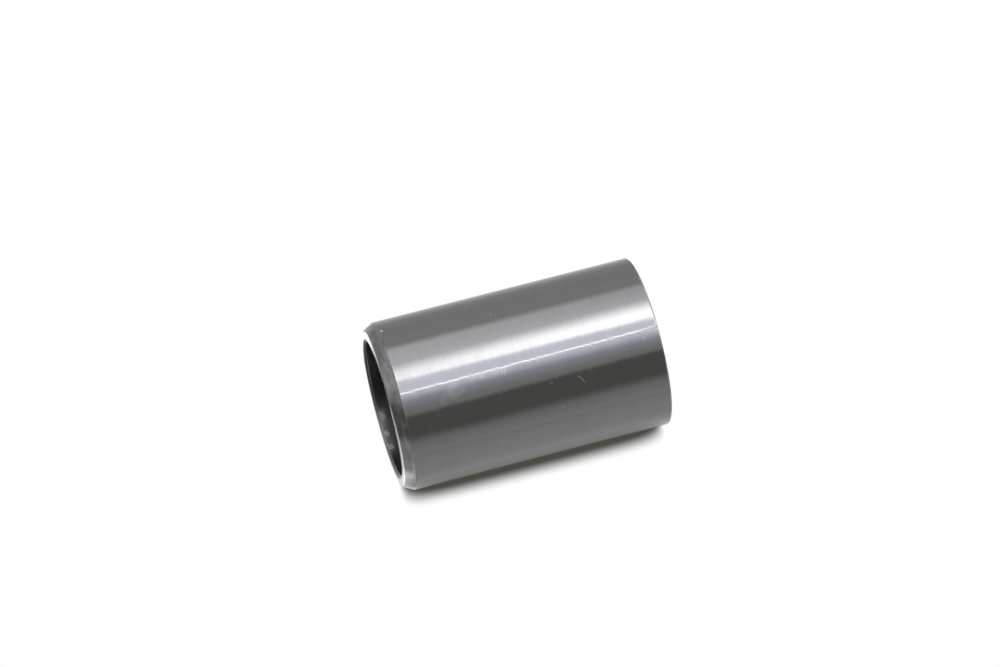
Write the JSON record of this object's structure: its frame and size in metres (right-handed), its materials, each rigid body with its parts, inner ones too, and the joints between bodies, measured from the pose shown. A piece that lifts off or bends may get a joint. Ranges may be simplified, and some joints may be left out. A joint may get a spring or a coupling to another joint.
{
  "type": "bearing sleeve",
  "caption": "Plain steel bearing sleeve: a turned tube with a ground outside, a chamfered through bore and a lead-in taper at one end.",
  "frame": {"origin": "centre of the lead-in end face, which the sleeve stands on", "axes": "+Z along the bore from the lead-in end to the plain end; X and Y are any two directions across it"},
  "size_m": [0.025, 0.025, 0.04],
  "materials": {
    "dark_steel": "dark hardened steel, ground and polished, with fine marks running round the axis"
  },
  "bodies": {
    "root": {"sleeve": "dark_steel"}
  },
  "joints": []
}
